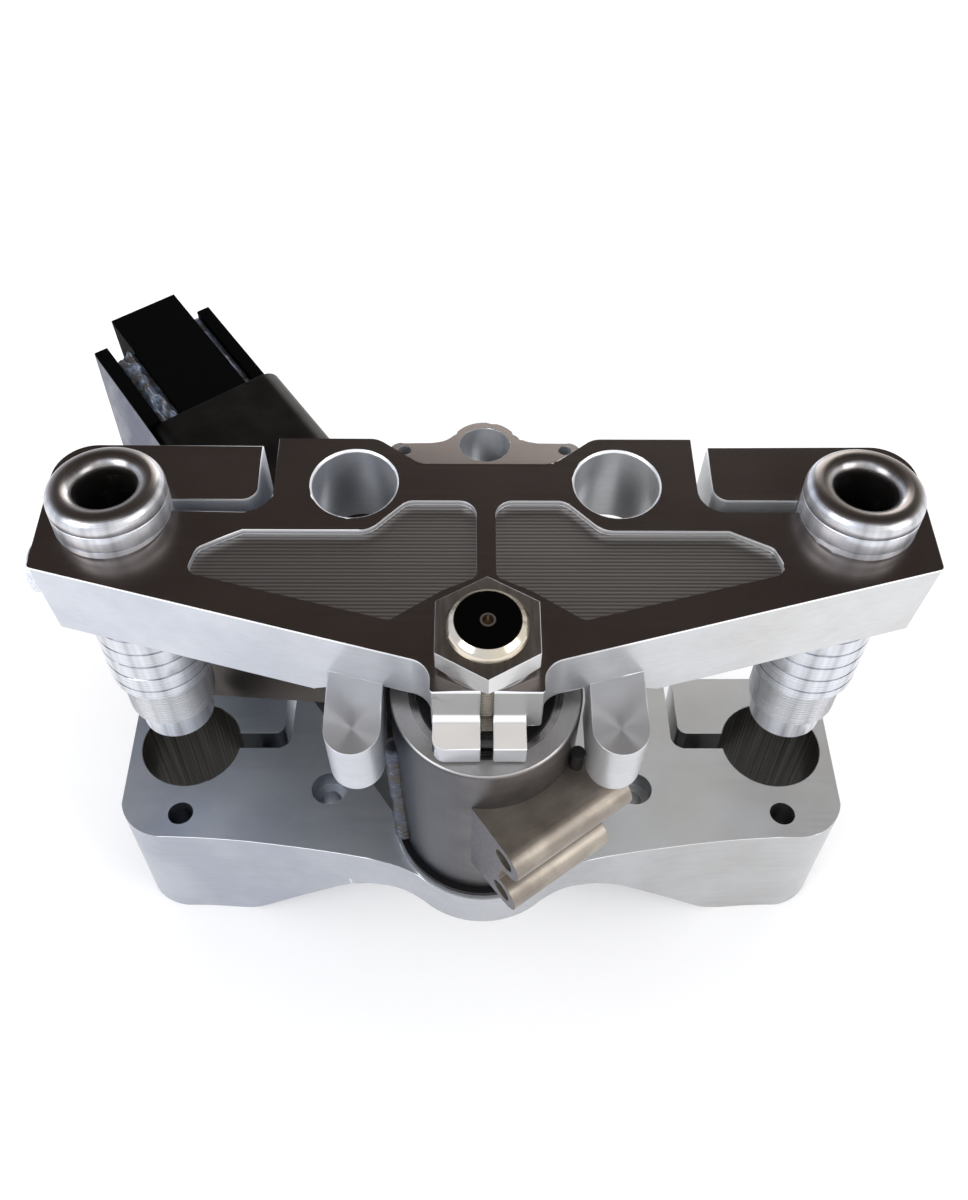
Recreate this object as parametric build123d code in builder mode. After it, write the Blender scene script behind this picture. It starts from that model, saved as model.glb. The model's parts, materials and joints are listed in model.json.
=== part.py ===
from build123d import *
from math import cos, radians, sin, tan
import os

os.makedirs("parts", exist_ok=True)

# Raked steering assembly of a motorcycle: two billet clamps on one stem, with a cut-off frame neck
# turning between them. Z runs along the fork axes, X to the right, Y to the rear. The origin lies
# midway between the fork axes, on the flat underside of the lower clamp.

# Driving dimensions of the layout
fork_spacing = 247.65
fork_radius = 20.65
rake = 7.0
upper_offset = 52.0
clamp_spacing = 134.8
steer_angle = 35.3

# Stem, nut and bearings
stem_radius = 12.7
stem_collar_radius = 14.3
stem_stand = 15.0
stem_chamfer = 2.4
stem_bottom = 170.0
centre_hole_radius = 1.6
centre_hole_depth = 6.0
nut_flats = 31.75
nut_height = 11.0
nut_face = 1.0
nut_chamfer = 2.2
bearing_radius = 25.4
bearing_width = 12.6
roller_radius = 2.2
roller_length = 9.0
roller_count = 16
roller_pitch = 18.9
roller_taper = 12.0
roller_gap = 0.08
race_inset = 0.6
cone_stand = 0.2
adjuster_wall = 5.3
seal_reach = 2.5
slip = 0.05
running_gap = 0.3
cut_margin = 1.0
seal_step = 2.6

# Upper clamp, in the frame of its top face
plate_thickness = 35.5
boss_half = 17.3
boss_front = 16.0
boss_fillet = 8.0
boss_round = 1.0
knee = 6.2
end_wall = 3.925
end_near = 29.1
end_round = 1.5
finger_far = 80.7
finger_round = 14.0
body_far = 84.0
waist_far = 72.7
waist_half = 22.5
waist_shoulder = 37.5
waist_fillet = 7.0
relief_depth = 22.0
relief_half = 38.5
relief_outer = 57.0
relief_back = 44.0
relief_fillet = 8.0
upper_bore_radius = 19.55
upper_leg_near = 51.9
upper_leg_far = 57.0
upper_gap_inner = 71.4
upper_gap_outer = 76.7
upper_gap_rounds = (9.0, 5.0)
riser_spacing = 88.9
riser_offset = 64.3
riser_radius = 14.3
riser_chamfer = 0.9
pocket_depth = 2.5
pocket_web = 3.1
pocket_heel = 25.6
pocket_bend = (14.2, 20.3)
pocket_toe = (30.5, 9.2)
pocket_end_near = (96.5, 27.2)
pocket_end_far = (94.0, 37.2)
pocket_step_out = (80.0, 44.2)
pocket_step_in = (38.5, 44.2)
pocket_crest = (26.5, 56.7)
pocket_rounds = (3.0, 4.0, 6.0, 8.0)
lug_offset = 42.2
lug_radius = 9.0
lug_centre = 17.8
lug_top = 20.5
lug_bottom = 46.5
lug_back = 6.0
ear_left = 16.9
ear_right = 12.3
ear_front = 26.8
ear_top = 17.0
ear_bottom = 26.0
ear_fillet = 3.0
ear_round = 4.0
slit_width = 4.0
button_radius = 8.5
button_height = 3.8
button_edge = 0.8
button_offset = 39.0
button_drop = 14.0

# Rear tab of the upper clamp, square to the forks
tab_drop = 9.8
tab_half = 34.5
tab_far = 93.4
tab_round = 5.0
tab_hole_radius = 9.1
tab_hole_offset = 92.4
tab_nose_radius = 12.2
tab_neck_fillet = 9.0
tab_screw_offset = 89.3
tab_screw_spacing = 57.6
tab_screw_radius = 2.4

# Lower clamp, outline from the point where the stem axis meets its top face. The corner points
# are measured inwards from the clamp's end
lower_height = 62.0
nose_radius = 36.0
nose_half_angle = 40.0
lower_front_mid = (78.0, -13.2)
lower_front_end = (23.0, -9.0)
lower_front_dip = 5.2
lower_front_rise = 0.03
lower_side_wall = 5.525
lower_side_near = (2.2, 6.0)
lower_corner_mid = (7.8, -3.5)
lower_far = 70.0
lower_far_round = 15.0
web_thickness = 19.5
arch_inner = 47.3
arch_outer = 98.9
arch_fillets = (45.0, 20.0)
lower_leg_near = 33.0
lower_leg_far = 40.6
lower_gap_inner = 81.4
lower_gap_outer = 85.1
lower_gap_rounds = (6.0, 4.0)
seat_radius = 35.4
seat_level = 130.2
stem_boss_radius = 24.0
stem_boss_depth = 35.0
outer_hole = (122.9, 1.7)
outer_hole_radius = 5.1
inner_hole = (63.1, 13.3)
inner_hole_radius = 4.0
inner_bore_radius = 7.5
inner_bore_depth = 9.0

# Screws
pinch_radius = 3.0
pinch_head_radius = 5.0
pinch_head_length = 6.0
socket_share = 0.5
pinch_bore_depth = 7.0
pinch_reach = 18.0
screw_end_gap = 1.0
upper_pinch_x = 87.4
lower_pinch_x = 96.0
lower_pinch_inset = 14.0
stem_pinch_radius = 2.4
stem_pinch_head_radius = 3.6
stem_pinch_head_length = 5.0

# Fork stubs and caps, heights from the upper clamp's top face along the fork axis
stub_radius = 19.5
stub_length = 80.0
stub_groove_pitch = 7.4
stub_groove_depth = 0.5
stub_groove_width = 0.9
stub_groove_count = 5
stub_groove_start = 4.4
thread_radius = 16.6
thread_end = 101.0
pilot_radius = 14.0
pilot_end = 113.5
ring_height = 6.5
cap_wall = 2.0
cap_crown = 4.75
cap_throat = 10.0
cap_break = 0.3

# Frame neck, arm and bracket, heights down from the upper clamp's top face along the stem
neck_radius = 31.75
neck_top = 27.2
neck_bottom = 126.8
neck_bore = 21.6
neck_edge = 0.8
arm_width = 63.0
arm_top = 65.0
arm_bottom = 125.5
arm_wall = 6.35
arm_round = 8.0
arm_length = 203.0
rail_top_left = 64.0
rail_reach_left = 54.0
rail_top_right = 82.0
rail_reach_right = 72.0
block_width = 32.0
block_tail = 53.0
block_reach = 70.0
rail_weld_drop = 3.0
rail_weld_reach = 47.0
gusset_slope = 60.0
gusset_thickness = 4.8
gusset_start = 40.0
gusset_corner = (112.0, 72.0)
gusset_round = 12.0
bead_radius = 3.2
bead_top = 47.0
bead_bottom = 115.0
bracket_left = 22.0
bracket_right = 20.0
bracket_lobe_right = 26.0
lobe_radius = 8.0
lobe_bore_radius = 4.3
lobe_reach = 41.2
upper_lobe = 59.0
lower_lobe = 88.0
bracket_web = 39.5
bracket_foot = 102.0
peg_radius = 2.4
peg_reach = 30.5
peg_side = 15.8
peg_height = 9.5

# Sizes that follow from those above
lean = radians(rake)
fork_half = fork_spacing / 2
lower_offset = upper_offset * cos(lean) - clamp_spacing * sin(lean)
stem_y = -upper_offset * cos(lean)
stem_z = lower_height + clamp_spacing * cos(lean)
fork_top = stem_z + upper_offset * sin(lean)
dust_depth = ear_bottom + running_gap
race_depth = neck_top + race_inset
cone_depth = race_depth - cone_stand
lower_race = neck_bottom - race_inset
lower_cone = lower_race + cone_stand
adjuster_radius = stem_radius + adjuster_wall
seal_radius = neck_radius + seal_reach
upper_gap_middle = (upper_gap_inner + upper_gap_outer) / 2
end_half = fork_half + upper_bore_radius + end_wall
lower_half = fork_half + fork_radius + lower_side_wall
front_end = (lower_half - lower_front_end[0], lower_front_end[1])
corner_mid = (lower_half - lower_corner_mid[0], lower_corner_mid[1])
side_near = (lower_half - lower_side_near[0], lower_side_near[1])
rail_end_left = arm_length + rail_reach_left
rail_end_right = arm_length + rail_reach_right
block_end = arm_length + block_reach
sides = (("left", -1), ("right", 1))

# The clamp's top face, with Z up the leaning stem, and the arm's frame turned about the stem
stem_top = Plane(origin=(0, stem_y, stem_z), x_dir=(1, 0, 0), z_dir=(0, -sin(lean), cos(lean)))
arm_turn = radians(90 + steer_angle)
arm_base = Plane(origin=(0, 0, 0), x_dir=(cos(arm_turn), sin(arm_turn), 0), z_dir=(0, 0, 1))
lower_top = Plane(origin=(0, -lower_offset, lower_height), x_dir=(1, 0, 0), z_dir=(0, 0, 1))


def on_stem(plane):
    """A plane given in the stem's frame."""
    return Plane(stem_top.location * plane.location)


def on_arm(plane):
    """A plane given in the arm's frame: X along the arm, Y to its left, Z up the stem."""
    return Plane(stem_top.location * arm_base.location * plane.location)


stem_line = Axis(stem_top.origin, stem_top.z_dir)


def corners(sketch, x, y):
    """The outline corners at (x, y) and (-x, y)."""
    return sketch.vertices().filter_by(lambda v: abs(abs(v.X) - x) < 0.01 and abs(v.Y - y) < 0.01)


def split_slots(bore_x, leg, gap, far, rounds):
    """The two L-shaped saw cuts that free a pinch finger beside each fork bore."""
    with BuildSketch(mode=Mode.PRIVATE) as cut:
        with BuildLine():
            Polyline(
                (bore_x, leg[0]), (gap[0], leg[0]), (gap[0], far),
                (gap[1], far), (gap[1], leg[1]), (bore_x, leg[1]), close=True,
            )
        make_face()
        fillet(corners(cut, gap[0], leg[0]), rounds[0])
        fillet(corners(cut, gap[1], leg[1]), rounds[1])
    add(cut.sketch)
    mirror(cut.sketch, about=Plane.YZ)


def turned(points, about, plane):
    """A turned piece from its half section: each point is a radius and a height."""
    with BuildSketch(plane) as section:
        with BuildLine():
            Polyline(*points, close=True)
        make_face()
    revolve(section.sketch, axis=about)


def screw(plane, radius, length, head_radius, head_length):
    """A socket-head screw whose head seat lies on the plane and whose shank runs down from it."""
    with BuildSketch(plane) as shank:
        Circle(radius)
    extrude(shank.sketch, amount=-length)
    with BuildSketch(plane) as head:
        Circle(head_radius)
    extrude(head.sketch, amount=head_length)
    with BuildSketch(plane.offset(head_length)) as socket:
        RegularPolygon(head_radius * socket_share, 6)
    extrude(socket.sketch, amount=-head_length * socket_share, mode=Mode.SUBTRACT)


# Upper clamp: one billet with a pinched stem boss, stop lugs, riser holes and a rear tab
tab_level = on_stem(Plane(origin=(0, waist_far, -tab_drop), x_dir=(1, 0, 0), z_dir=(0, sin(lean), cos(lean))))
upper_pinch = [
    on_stem(Plane(origin=(side * upper_pinch_x, finger_far - pinch_bore_depth, -plate_thickness / 2),
                  x_dir=(1, 0, 0), z_dir=(0, 1, 0)))
    for _, side in sides
]
stem_pinch = on_stem(Plane(
    origin=(-ear_left + stem_pinch_head_length, -(ear_front + boss_front) / 2, -(ear_top + ear_bottom) / 2),
    x_dir=(0, 1, 0), z_dir=(-1, 0, 0),
))
with BuildPart() as upper_clamp:
    with BuildSketch(stem_top) as outline:
        with BuildLine():
            Polyline(
                (0, -boss_front), (boss_half, -boss_front), (boss_half, -knee), (end_half, end_near),
                (end_half, finger_far), (upper_gap_middle, finger_far), (upper_gap_middle, body_far),
                (waist_shoulder, body_far), (waist_half, waist_far), (0, waist_far),
            )
            mirror(about=Plane.YZ)
        make_face()
        fillet(corners(outline, boss_half, -knee), boss_fillet)
        fillet(corners(outline, boss_half, -boss_front), boss_round)
        fillet(corners(outline, end_half, end_near), end_round)
        fillet(corners(outline, end_half, finger_far), finger_round)
        fillet(corners(outline, waist_shoulder, body_far), waist_fillet)
        fillet(corners(outline, waist_half, waist_far), waist_fillet)
    extrude(amount=-plate_thickness)
    # Arched relief under the boss, clear of the neck
    with BuildSketch(on_stem(Plane.XZ.offset(-relief_back))) as relief:
        with BuildLine():
            Polyline(
                (-relief_outer, -plate_thickness), (-relief_half, -relief_depth),
                (relief_half, -relief_depth), (relief_outer, -plate_thickness), close=True,
            )
        make_face()
        fillet(corners(relief, relief_half, -relief_depth), relief_fillet)
    extrude(amount=relief_back + boss_front + cut_margin, mode=Mode.SUBTRACT)
    # Stop lugs: round-nosed tongues under the front edge
    with BuildSketch(stem_top.offset(-lug_top)):
        for _, side in sides:
            with Locations((side * lug_offset, -lug_centre)):
                Circle(lug_radius)
            with Locations((side * lug_offset, (lug_back - lug_centre) / 2)):
                Rectangle(2 * lug_radius, lug_back + lug_centre)
    extrude(amount=lug_top - lug_bottom)
    # Split ears of the stem boss, joined to its front wall by a fillet
    with BuildSketch(on_stem(Plane.YZ.offset(-ear_left))) as ears:
        with BuildLine():
            Polyline(
                (0, -boss_front / 4), (-boss_front, -boss_front / 4), (-boss_front, -ear_top),
                (-ear_front, -ear_top), (-ear_front, -ear_bottom), (0, -ear_bottom), close=True,
            )
        make_face()
        fillet(ears.vertices().filter_by(lambda v: abs(v.X + boss_front) < 0.01 and v.Y < -boss_front / 2), ear_fillet)
    extrude(amount=ear_left + ear_right)
    front_left = on_stem(Plane(origin=(-ear_left, -ear_front, -ear_top))).origin
    fillet(upper_clamp.edges().filter_by(Axis(stem_top.origin, stem_top.z_dir)).sort_by_distance(front_left)[0], ear_round)
    # Room for the bearing adjuster between the ears and the stem
    with BuildSketch(stem_top.offset(-relief_depth)):
        Circle(adjuster_radius + 2 * running_gap)
    extrude(amount=relief_depth - ear_bottom - cut_margin, mode=Mode.SUBTRACT)
    # Rear tab, its top square to the forks
    with BuildSketch(tab_level) as tab:
        with BuildLine():
            Polyline(
                (-tab_half, -waist_far / 2), (tab_half, -waist_far / 2),
                (tab_half, tab_far - waist_far), (-tab_half, tab_far - waist_far), close=True,
            )
        make_face()
        fillet(corners(tab, tab_half, tab_far - waist_far), tab_round)
        with Locations((0, tab_hole_offset - waist_far)):
            Circle(tab_nose_radius)
        fillet(tab.vertices().filter_by(lambda v: abs(v.X) < tab_half / 2 and v.Y > 1), tab_neck_fillet)
    extrude(amount=-2 * plate_thickness)
    with BuildSketch(stem_top.offset(-plate_thickness)):
        with Locations((0, waist_far)):
            Rectangle(4 * tab_half, 2 * waist_far)
    extrude(amount=-2 * plate_thickness, mode=Mode.SUBTRACT)
    with BuildSketch(tab_level):
        with Locations((0, tab_hole_offset - waist_far)):
            Circle(tab_hole_radius)
        with Locations((-tab_screw_spacing / 2, tab_screw_offset - waist_far),
                       (tab_screw_spacing / 2, tab_screw_offset - waist_far)):
            Circle(tab_screw_radius)
    extrude(amount=-2 * plate_thickness, mode=Mode.SUBTRACT)
    # Fork bores, stem bore, slit, finger cuts and riser holes
    with BuildSketch(Plane.XY.offset(fork_top - 2 * plate_thickness)):
        with Locations((-fork_half, 0), (fork_half, 0)):
            Circle(upper_bore_radius)
    extrude(amount=3 * plate_thickness, mode=Mode.SUBTRACT)
    with BuildSketch(stem_top):
        Circle(stem_radius + slip)
        with Locations((0, -ear_front / 2)):
            Rectangle(slit_width, ear_front + cut_margin)
        split_slots(fork_half, (upper_leg_near, upper_leg_far), (upper_gap_inner, upper_gap_outer),
                    body_far + cut_margin, upper_gap_rounds)
        with Locations((-riser_spacing / 2, riser_offset), (riser_spacing / 2, riser_offset)):
            Circle(riser_radius)
    extrude(amount=-lug_bottom, mode=Mode.SUBTRACT)
    riser_rims = upper_clamp.edges().filter_by(GeomType.CIRCLE).filter_by(
        lambda e: abs(e.radius - riser_radius) < 0.01 and abs(stem_top.to_local_coords(e.center()).Z) < 0.01)
    chamfer(riser_rims, riser_chamfer)
    # Machined pockets in the top face
    with BuildSketch(stem_top):
        with BuildSketch(mode=Mode.PRIVATE) as pocket:
            with BuildLine():
                Polyline(
                    (pocket_web, pocket_crest[1]), (pocket_web, pocket_heel), pocket_bend, pocket_toe,
                    pocket_end_near, pocket_end_far, pocket_step_out, pocket_step_in, pocket_crest, close=True,
                )
            make_face()
            fillet([*corners(pocket, pocket_web, pocket_heel), *corners(pocket, *pocket_toe)], pocket_rounds[0])
            fillet([*corners(pocket, *pocket_end_near), *corners(pocket, *pocket_end_far)], pocket_rounds[1])
            fillet([*corners(pocket, pocket_web, pocket_crest[1]), *corners(pocket, *pocket_crest)],
                   pocket_rounds[2])
            fillet(corners(pocket, *pocket_step_in), pocket_rounds[3])
        add(pocket.sketch)
        mirror(pocket.sketch, about=Plane.YZ)
    extrude(amount=-pocket_depth, mode=Mode.SUBTRACT)
    # Screw holes through the fingers and the ears
    for seat in upper_pinch:
        with BuildSketch(seat):
            Circle(pinch_head_radius + slip)
        extrude(amount=pinch_bore_depth + cut_margin, mode=Mode.SUBTRACT)
        with BuildSketch(seat):
            Circle(pinch_radius + slip)
        extrude(amount=-(finger_far - pinch_bore_depth - upper_leg_near) - pinch_reach, mode=Mode.SUBTRACT)
    with BuildSketch(stem_pinch):
        Circle(stem_pinch_head_radius + slip)
    extrude(amount=stem_pinch_head_length + cut_margin, mode=Mode.SUBTRACT)
    with BuildSketch(stem_pinch):
        Circle(stem_pinch_radius + slip)
    extrude(amount=-ear_left - ear_right, mode=Mode.SUBTRACT)
upper_clamp.part.label = "upper_clamp"
export_step(upper_clamp.part, "parts/upper_clamp.step")

# Round button on the upper clamp's left end face
with BuildPart() as end_button:
    with BuildSketch(on_stem(Plane(origin=(-end_half, button_offset, -button_drop), x_dir=(0, 1, 0),
                                   z_dir=(-1, 0, 0)))):
        Circle(button_radius)
    extrude(amount=button_height)
    chamfer(end_button.edges().sort_by(Axis.X)[0], button_edge)
end_button.part.label = "end_button"
export_step(end_button.part, "parts/end_button.step")

# Lower clamp: tall fork bosses joined by an arched web with a stem boss
finger_face = lower_far - lower_offset
lower_pinch = [
    [Plane(origin=(side * lower_pinch_x, finger_face - pinch_bore_depth, z), x_dir=(1, 0, 0), z_dir=(0, 1, 0))
     for z in (lower_pinch_inset, lower_height - lower_pinch_inset)]
    for _, side in sides
]
nose_point = (nose_radius * sin(radians(nose_half_angle)), -nose_radius * cos(radians(nose_half_angle)))
with BuildPart() as lower_clamp:
    with BuildSketch(lower_top) as plan:
        with BuildLine():
            nose = ThreePointArc((0, -nose_radius), (nose_radius * sin(radians(nose_half_angle / 2)),
                                 -nose_radius * cos(radians(nose_half_angle / 2))), nose_point)
            run_in = (2 * nose_point[0], lower_front_mid[1] - lower_front_dip)
            Spline(nose_point, run_in, lower_front_mid, front_end,
                   tangents=((cos(radians(nose_half_angle)), sin(radians(nose_half_angle))), (1, lower_front_rise)))
            ThreePointArc(front_end, corner_mid, side_near)
            Polyline(side_near, (lower_half, lower_far), (0, lower_far))
            mirror(about=Plane.YZ)
        make_face()
        fillet(corners(plan, lower_half, lower_far), lower_far_round)
    extrude(amount=-lower_height)
    # Arch under the web
    with BuildSketch(Plane.XZ.offset(-lower_far)) as arch:
        with BuildLine():
            Polyline(
                (-lower_half, -cut_margin), (-lower_half, 0), (-arch_outer, 0),
                (-arch_inner, lower_height - web_thickness), (arch_inner, lower_height - web_thickness),
                (arch_outer, 0), (lower_half, 0), (lower_half, -cut_margin), close=True,
            )
        make_face()
        fillet(corners(arch, arch_inner, lower_height - web_thickness), arch_fillets[0])
        fillet(corners(arch, arch_outer, 0), arch_fillets[1])
    extrude(amount=4 * lower_far, mode=Mode.SUBTRACT)
    # Stem boss below the web and the bearing seat above it
    with BuildSketch(on_stem(Plane.XY.offset(-clamp_spacing))):
        Circle(stem_boss_radius)
    extrude(amount=-stem_boss_depth)
    with BuildSketch(stem_top.offset(-seat_level)):
        Circle(seat_radius)
    extrude(amount=-web_thickness / 2 - (clamp_spacing - seat_level))
    with BuildSketch(stem_top.offset(-seat_level)):
        Circle(stem_collar_radius)
    extrude(amount=-stem_boss_depth - web_thickness, mode=Mode.SUBTRACT)
    # Fork bores, finger cuts and the plain holes
    with BuildSketch(lower_top):
        with Locations((-fork_half, lower_offset), (fork_half, lower_offset)):
            Circle(fork_radius)
        with Locations((-outer_hole[0], outer_hole[1]), outer_hole):
            Circle(outer_hole_radius)
        with Locations((-inner_hole[0], inner_hole[1]), inner_hole):
            Circle(inner_hole_radius)
        split_slots(fork_half, (lower_leg_near, lower_leg_far), (lower_gap_inner, lower_gap_outer),
                    lower_far + cut_margin, lower_gap_rounds)
    extrude(amount=-lower_height, mode=Mode.SUBTRACT)
    with BuildSketch(lower_top):
        with Locations((-inner_hole[0], inner_hole[1]), inner_hole):
            Circle(inner_bore_radius)
    extrude(amount=-inner_bore_depth, mode=Mode.SUBTRACT)
    for pair in lower_pinch:
        for seat in pair:
            with BuildSketch(seat):
                Circle(pinch_head_radius + slip)
            extrude(amount=pinch_bore_depth + cut_margin, mode=Mode.SUBTRACT)
            with BuildSketch(seat):
                Circle(pinch_radius + slip)
            extrude(amount=-(lower_far - pinch_bore_depth - lower_leg_near) - pinch_reach, mode=Mode.SUBTRACT)
lower_clamp.part.label = "lower_clamp"
export_step(lower_clamp.part, "parts/lower_clamp.step")

# Stem, pressed into the lower clamp and drilled for a centre at its top
half_section = on_stem(Plane.XZ)
with BuildPart() as steering_stem:
    turned(
        [(0, stem_stand), (stem_radius - stem_chamfer, stem_stand), (stem_radius, stem_stand - stem_chamfer),
         (stem_radius, -lower_cone), (stem_collar_radius, -lower_cone), (stem_collar_radius, -stem_bottom),
         (0, -stem_bottom)],
        stem_line, half_section,
    )
    with BuildSketch(stem_top.offset(stem_stand)):
        Circle(centre_hole_radius)
    extrude(amount=-centre_hole_depth, mode=Mode.SUBTRACT)
steering_stem.part.label = "steering_stem"
export_step(steering_stem.part, "parts/steering_stem.step")

# Stem nut: a hexagon chamfered below, over a round washer face
with BuildPart() as stem_nut:
    with BuildSketch(stem_top.offset(nut_face)):
        RegularPolygon(nut_flats / 2, 6, major_radius=False, rotation=30)
    extrude(amount=nut_height - nut_face)
    nut_corner = nut_flats / 2 / cos(radians(30))
    with BuildSketch(half_section):
        with BuildLine():
            Polyline(
                (nut_flats / 2 - cut_margin, nut_face), (nut_corner + cut_margin, nut_face),
                (nut_corner + cut_margin, nut_face + nut_chamfer), close=True,
            )
        make_face()
    revolve(axis=stem_line, mode=Mode.SUBTRACT)
    with BuildSketch(stem_top):
        Circle(nut_flats / 2)
    extrude(amount=nut_face)
    with BuildSketch(stem_top):
        Circle(stem_radius + slip)
    extrude(amount=nut_height, mode=Mode.SUBTRACT)
stem_nut.part.label = "stem_nut"
export_step(stem_nut.part, "parts/stem_nut.step")

# Bearing adjuster ring and dust washer, stacked below the upper clamp
with BuildPart() as bearing_adjuster:
    with BuildSketch(stem_top.offset(-relief_depth)):
        Circle(adjuster_radius)
        Circle(stem_radius + slip, mode=Mode.SUBTRACT)
    extrude(amount=relief_depth - dust_depth)
bearing_adjuster.part.label = "bearing_adjuster"
export_step(bearing_adjuster.part, "parts/bearing_adjuster.step")

with BuildPart() as upper_dust_seal:
    with BuildSketch(stem_top.offset(-dust_depth)):
        Circle(bearing_radius - seal_step)
        Circle(stem_radius + slip, mode=Mode.SUBTRACT)
    extrude(amount=dust_depth - cone_depth)
upper_dust_seal.part.label = "upper_dust_seal"
export_step(upper_dust_seal.part, "parts/upper_dust_seal.step")

with BuildPart() as lower_dust_seal:
    with BuildSketch(stem_top.offset(-seat_level)):
        Circle(seal_radius)
        Circle(stem_collar_radius + slip, mode=Mode.SUBTRACT)
    extrude(amount=seat_level - neck_bottom - running_gap)
lower_dust_seal.part.label = "lower_dust_seal"
export_step(lower_dust_seal.part, "parts/lower_dust_seal.step")

# Tapered roller bearings: the wide end of each faces out of the neck
taper = tan(radians(roller_taper))
ring_gap = (roller_radius + roller_gap) / cos(radians(roller_taper))
for place, outer_face, race_face, inward in (
    ("upper", cone_depth, race_depth, 1), ("lower", lower_cone, lower_race, -1),
):
    middle = outer_face + inward * bearing_width / 2
    race_end = race_face + inward * bearing_width

    def pitch_at(depth):
        """Radius of the roller axes at a depth below the clamp's top face."""
        return roller_pitch - inward * (depth - middle) * taper

    cone_end = outer_face + inward * bearing_width
    with BuildPart() as bearing_cone:
        turned(
            [(stem_radius + slip / 2, -outer_face), (pitch_at(outer_face) - ring_gap, -outer_face),
             (pitch_at(cone_end) - ring_gap, -cone_end), (stem_radius + slip / 2, -cone_end)],
            stem_line, half_section,
        )
    bearing_cone.part.label = place + "_bearing_cone"
    export_step(bearing_cone.part, "parts/" + place + "_bearing_cone.step")

    with BuildPart() as bearing_race:
        turned(
            [(bearing_radius, -race_face), (pitch_at(race_face) + ring_gap, -race_face),
             (pitch_at(race_end) + ring_gap, -race_end), (bearing_radius, -race_end)],
            stem_line, half_section,
        )
    bearing_race.part.label = place + "_bearing_race"
    export_step(bearing_race.part, "parts/" + place + "_bearing_race.step")

    with BuildPart() as bearing_rollers:
        for turn in range(roller_count):
            angle = 360 / roller_count * turn
            spoke = Location((0, 0, 0), (0, 0, angle)) * Location(
                (roller_pitch, 0, -middle), (0, inward * roller_taper, 0))
            with BuildSketch(Plane(stem_top.location * spoke).offset(-roller_length / 2)):
                Circle(roller_radius)
            extrude(amount=roller_length)
    bearing_rollers.part.label = place + "_bearing_rollers"
    export_step(bearing_rollers.part, "parts/" + place + "_bearing_rollers.step")

# Pinch screws: one at the stem, one in each upper finger, two in each lower finger
with BuildPart() as stem_pinch_screw:
    screw(stem_pinch, stem_pinch_radius, ear_left - stem_pinch_head_length + ear_right - screw_end_gap,
          stem_pinch_head_radius, stem_pinch_head_length)
stem_pinch_screw.part.label = "stem_pinch_screw"
export_step(stem_pinch_screw.part, "parts/stem_pinch_screw.step")

for (name, _), seat, pair in zip(sides, upper_pinch, lower_pinch):
    with BuildPart() as upper_screw:
        screw(seat, pinch_radius, finger_far - pinch_bore_depth - upper_leg_near + pinch_reach - screw_end_gap,
              pinch_head_radius, pinch_head_length)
    upper_screw.part.label = "upper_pinch_screw_" + name
    export_step(upper_screw.part, "parts/upper_pinch_screw_" + name + ".step")
    with BuildPart() as lower_screws:
        for lower_seat in pair:
            screw(lower_seat, pinch_radius,
                  lower_far - pinch_bore_depth - lower_leg_near + pinch_reach - screw_end_gap,
                  pinch_head_radius, pinch_head_length)
    lower_screws.part.label = "lower_pinch_screws_" + name
    export_step(lower_screws.part, "parts/lower_pinch_screws_" + name + ".step")

# Fork stubs, rings and caps, turned about the fork axes
for name, side in sides:
    fork_section = Plane(origin=(side * fork_half, 0, fork_top), x_dir=(1, 0, 0), z_dir=(0, -1, 0))
    fork_line = Axis((side * fork_half, 0, 0), (0, 0, 1))
    with BuildPart() as fork_stub:
        turned(
            [(cap_throat, 0), (stub_radius, 0), (stub_radius, -stub_length), (thread_radius, -stub_length),
             (thread_radius, -thread_end), (pilot_radius, -thread_end), (pilot_radius, -pilot_end),
             (cap_throat, -pilot_end)],
            fork_line, fork_section,
        )
        with BuildSketch(fork_section):
            for groove in range(stub_groove_count):
                with Locations((stub_radius, -stub_length + stub_groove_start + stub_groove_pitch * groove)):
                    Rectangle(2 * stub_groove_depth, stub_groove_width)
        revolve(axis=fork_line, mode=Mode.SUBTRACT)
    fork_stub.part.label = "fork_stub_" + name
    export_step(fork_stub.part, "parts/fork_stub_" + name + ".step")

    with BuildPart() as cap_ring:
        turned(
            [(cap_throat, 0), (stub_radius - cap_break, 0), (stub_radius, cap_break),
             (stub_radius, ring_height - cap_break), (stub_radius - cap_break, ring_height),
             (cap_throat, ring_height)],
            fork_line, fork_section,
        )
    cap_ring.part.label = "cap_ring_" + name
    export_step(cap_ring.part, "parts/cap_ring_" + name + ".step")

    with BuildPart() as fork_cap:
        crown_centre = ((cap_throat + stub_radius) / 2, ring_height + cap_wall)
        with BuildSketch(fork_section):
            with BuildLine():
                Polyline(
                    (stub_radius, ring_height + cap_wall), (stub_radius, ring_height + cap_break),
                    (stub_radius - cap_break, ring_height), (cap_throat, ring_height),
                    (cap_throat, ring_height + cap_wall),
                )
                ThreePointArc((cap_throat, ring_height + cap_wall),
                              (crown_centre[0], crown_centre[1] + cap_crown),
                              (stub_radius, ring_height + cap_wall))
            make_face()
        revolve(axis=fork_line)
    fork_cap.part.label = "fork_cap_" + name
    export_step(fork_cap.part, "parts/fork_cap_" + name + ".step")

# Frame neck: a thick tube bored at both ends for the bearing races
with BuildPart() as neck_tube:
    turned(
        [(bearing_radius, -neck_top), (neck_radius - neck_edge, -neck_top), (neck_radius, -neck_top - neck_edge),
         (neck_radius, -neck_bottom), (bearing_radius, -neck_bottom),
         (bearing_radius, -lower_race + bearing_width), (neck_bore, -lower_race + bearing_width),
         (neck_bore, -race_depth - bearing_width), (bearing_radius, -race_depth - bearing_width)],
        stem_line, half_section,
    )
neck_tube.part.label = "neck_tube"
export_step(neck_tube.part, "parts/neck_tube.step")

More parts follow.
